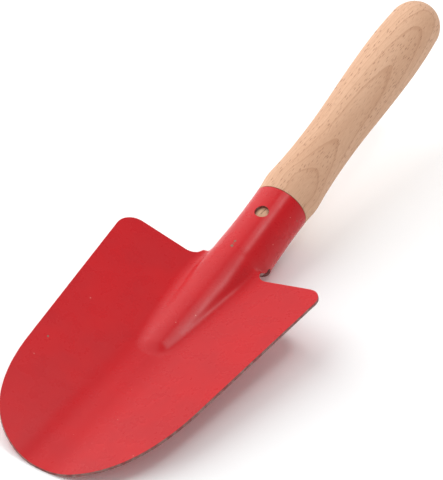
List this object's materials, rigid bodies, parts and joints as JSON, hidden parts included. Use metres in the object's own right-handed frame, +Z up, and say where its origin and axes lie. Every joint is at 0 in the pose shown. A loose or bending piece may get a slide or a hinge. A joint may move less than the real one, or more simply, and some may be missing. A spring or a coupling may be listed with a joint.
{
  "type": "hand trowel",
  "caption": "Hand trowel with a dished round-tipped steel blade, a rib running up into a rolled socket, and a turned beech handle.",
  "frame": {"origin": "on the surface it lies on, under the middle of its bounding box", "axes": "+X across the blade, +Y from the blade's tip towards the end of the handle, +Z up, out of the blade's hollow side, as the trowel lies on the heel of its socket and the tip of its blade"},
  "size_m": [0.0844, 0.266, 0.0587],
  "materials": {
    "red_coated_steel": "satin red powder coat with a few small chips and a bare cut edge",
    "beech": "sanded, unfinished beech with dark flecks",
    "nail_steel": "bright drawn steel"
  },
  "bodies": {
    "root": {"blade_and_socket": "red_coated_steel", "handle": "beech", "retaining_nail": "nail_steel"}
  },
  "joints": []
}
